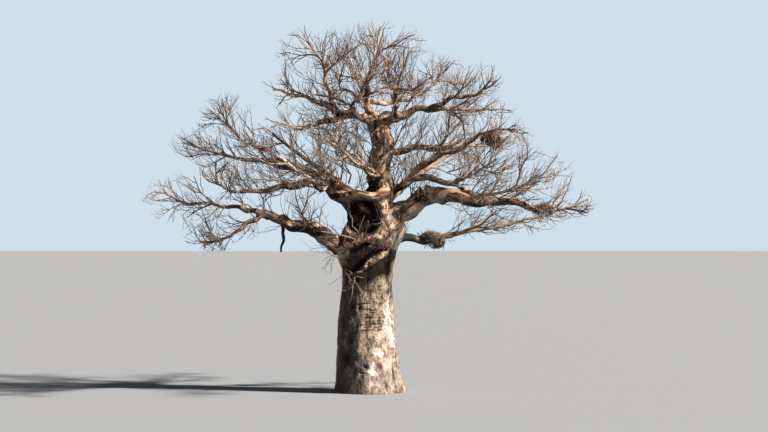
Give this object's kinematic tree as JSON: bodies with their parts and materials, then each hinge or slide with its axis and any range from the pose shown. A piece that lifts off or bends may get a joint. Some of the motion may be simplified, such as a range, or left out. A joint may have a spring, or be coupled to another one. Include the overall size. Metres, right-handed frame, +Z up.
{
  "type": "baobab tree",
  "caption": "Bare baobab tree with a swollen trunk, wide spreading boughs, masses of leafless twigs and stick nests, rooted in the ground.",
  "frame": {"origin": "on the ground, in the middle of the trunk's flat foot", "axes": "+Z up the trunk, +X along the widest spread of the crown, to the right of the side that faces -Y"},
  "size_m": [22.0294, 18.0968, 18.4971],
  "materials": {
    "trunk_bark": "matte smooth wrinkled bark, pale on the lit side with darker folds",
    "bough_bark": "matte scaly warm brown bark",
    "twigs": "matte pale grey-tan twig bark",
    "nest": "matte dark dry sticks and straw"
  },
  "bodies": {
    "root": {"trunk": "trunk_bark", "bough_leader": "bough_bark", "bough_right_root": "bough_bark", "bough_right_arm": "bough_bark", "bough_right_up": "bough_bark", "bough_right_up_out": "bough_bark", "bough_right_mid": "bough_bark", "bough_right_high": "bough_bark", "bough_right_low": "bough_bark", "bough_top_right": "bough_bark", "bough_top_right_up": "bough_bark", "bough_top_left": "bough_bark", "bough_top_left_up": "bough_bark", "bough_top_left_low": "bough_bark", "bough_top_centre": "bough_bark", "bough_top_arch": "bough_bark", "bough_left_mid": "bough_bark", "bough_saddle": "bough_bark", "bough_left_up": "bough_bark", "bough_left_dome": "bough_bark", "bough_left_mid_out": "bough_bark", "bough_left_low": "bough_bark", "bough_left_low_out": "bough_bark", "bough_left_low_dip": "bough_bark", "bough_hanging_stub": "bough_bark", "bough_front_left": "bough_bark", "bough_front_right": "bough_bark", "bough_front_mid": "bough_bark", "bough_front_top": "bough_bark", "bough_back_left": "bough_bark", "bough_back_right": "bough_bark", "bough_back_top": "bough_bark", "twigs_left_low_out": "twigs", "twigs_left_low_dip": "twigs", "twigs_left_mid_out": "twigs", "twigs_left_up": "twigs", "twigs_left_dome": "twigs", "twigs_top_left_low": "twigs", "twigs_top_left": "twigs", "twigs_top_left_up": "twigs", "twigs_top_centre": "twigs", "twigs_top_arch": "twigs", "twigs_top_right_up": "twigs", "twigs_top_right": "twigs", "twigs_right_high": "twigs", "twigs_right_up_out": "twigs", "twigs_right_mid": "twigs", "twigs_right_arm": "twigs", "twigs_right_low": "twigs", "twigs_front_left": "twigs", "twigs_front_right": "twigs", "twigs_front_mid": "twigs", "twigs_front_top": "twigs", "twigs_back_left": "twigs", "twigs_back_right": "twigs", "twigs_back_top": "twigs", "nest_low": "nest", "nest_high": "nest", "nest_far": "nest"}
  },
  "joints": []
}
